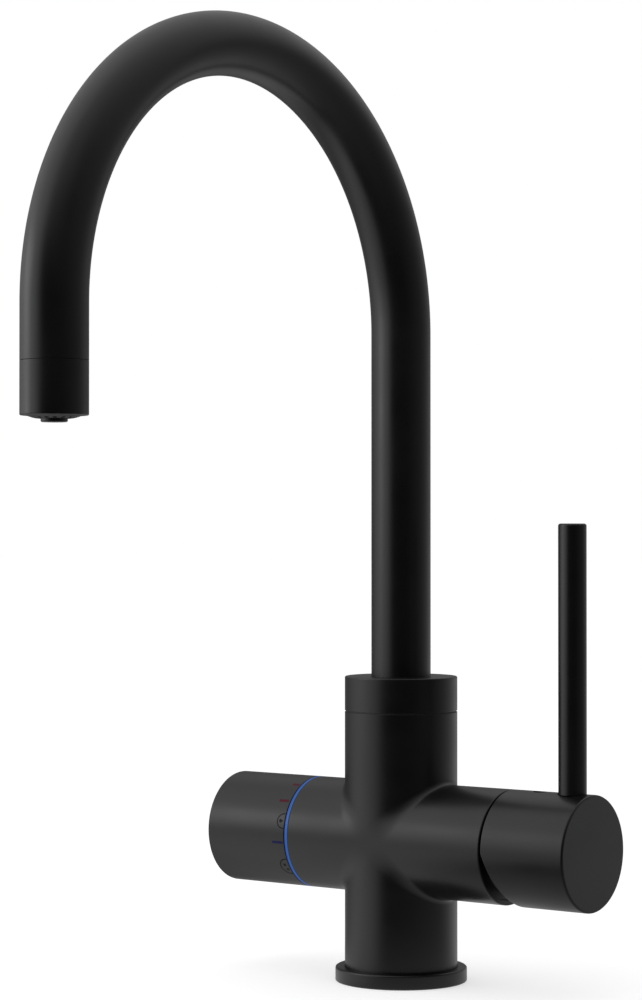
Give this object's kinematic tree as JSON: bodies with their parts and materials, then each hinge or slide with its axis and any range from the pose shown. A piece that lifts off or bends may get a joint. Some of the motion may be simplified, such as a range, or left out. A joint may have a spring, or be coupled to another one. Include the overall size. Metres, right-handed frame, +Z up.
{
  "type": "kitchen tap",
  "caption": "Swan-neck kitchen tap with side mixer lever, selector knob with a ring of light for filtered water, and a swivelling spout.",
  "frame": {"origin": "centre of the base ring's underside, on the axis of the column", "axes": "+Z up along the column, the spout reaches towards -Y, the mixer lever is on +X and the knob on -X"},
  "size_m": [0.1806, 0.2546, 0.3913],
  "materials": {
    "black_coat": "matte black coating on brass",
    "black_steel": "matte black coating on stainless steel",
    "brass": "turned",
    "steel": "turned",
    "acetal": "moulded",
    "black_plastic": "moulded",
    "ceramic": null,
    "rubber": "moulded",
    "board": "printed circuit board",
    "diode": "moulded",
    "light_guide": "clear plastic lit in blue"
  },
  "bodies": {
    "tap_body": {"body": "black_coat", "base_ring": "black_coat", "base_seal": "rubber", "inlet_manifold": "brass", "manifold_seals": "rubber", "manifold_screws": "steel", "cable_gland": "rubber", "swivel_washer": "black_plastic", "upper_bush": "acetal", "lower_bush": "acetal", "stop_screw": "steel", "filter_coupling": "brass", "coupling_seal": "rubber", "cartridge_base": "acetal", "cartridge_seals": "rubber", "fixed_disc": "ceramic", "cartridge_case": "acetal", "retaining_nut": "brass", "cartridge_cover": "black_coat", "selector_housing": "acetal", "sensor_board": "board", "light_board": "board", "light_diodes": "diode", "light_ring": "light_guide", "light_ring_seal": "rubber", "knob_bush": "acetal"},
    "spout": {"spout_collar": "black_coat", "collar_screw": "steel", "spout_spigot": "brass", "spigot_seals": "rubber", "spout_tube": "black_steel", "filter_tube": "steel", "outlet_insert": "black_plastic", "outlet_sleeve": "black_coat", "aerator_insert": "black_plastic", "aerator_screen": "steel", "aerator_washer": "rubber", "filter_nozzle": "black_coat"},
    "turret": {"mixer_turret": "acetal", "pivot_pin": "steel"},
    "valve_disc": {"moving_disc": "ceramic", "disc_carrier": "acetal"},
    "mixer_lever": {"mixer_stem": "steel", "mixer_handle": "black_coat", "handle_screw": "steel", "handle_plug": "black_plastic", "lever_stud": "steel", "lever_rod": "black_steel"},
    "knob": {"selector_spindle": "brass", "spindle_clip": "steel", "friction_ring": "rubber", "sensor_magnet": "steel", "knob_hub": "acetal", "knob_screw": "steel", "selector_knob": "black_coat"}
  },
  "joints": [
    {"name": "spout_swivel", "type": "hinge", "parent": "tap_body", "child": "spout", "pos_m": [0, 0, 0.1], "axis": [0, 0, 1], "range_deg": [-75, 75]},
    {"name": "mixer_turn", "type": "hinge", "parent": "tap_body", "child": "turret", "pos_m": [0.0475, 0, 0.0595], "axis": [1, 0, 0], "range_deg": [-50, 50]},
    {"name": "mixer_tilt", "type": "hinge", "parent": "turret", "child": "mixer_lever", "pos_m": [0.0475, 0, 0.0595], "axis": [0, 1, 0], "range_deg": [0, 18]},
    {"name": "disc_slide", "type": "slide", "parent": "turret", "child": "valve_disc", "axis": [0, 0, 1], "range_m": [0, 0.00418]},
    {"name": "knob_turn", "type": "hinge", "parent": "tap_body", "child": "knob", "pos_m": [-0.05, 0, 0.0595], "axis": [1, 0, 0], "range_deg": [-60, 60]}
  ],
  "couplings": [
    {"joint": "disc_slide", "follows": "mixer_tilt", "m_per_rad": 0.0133}
  ]
}
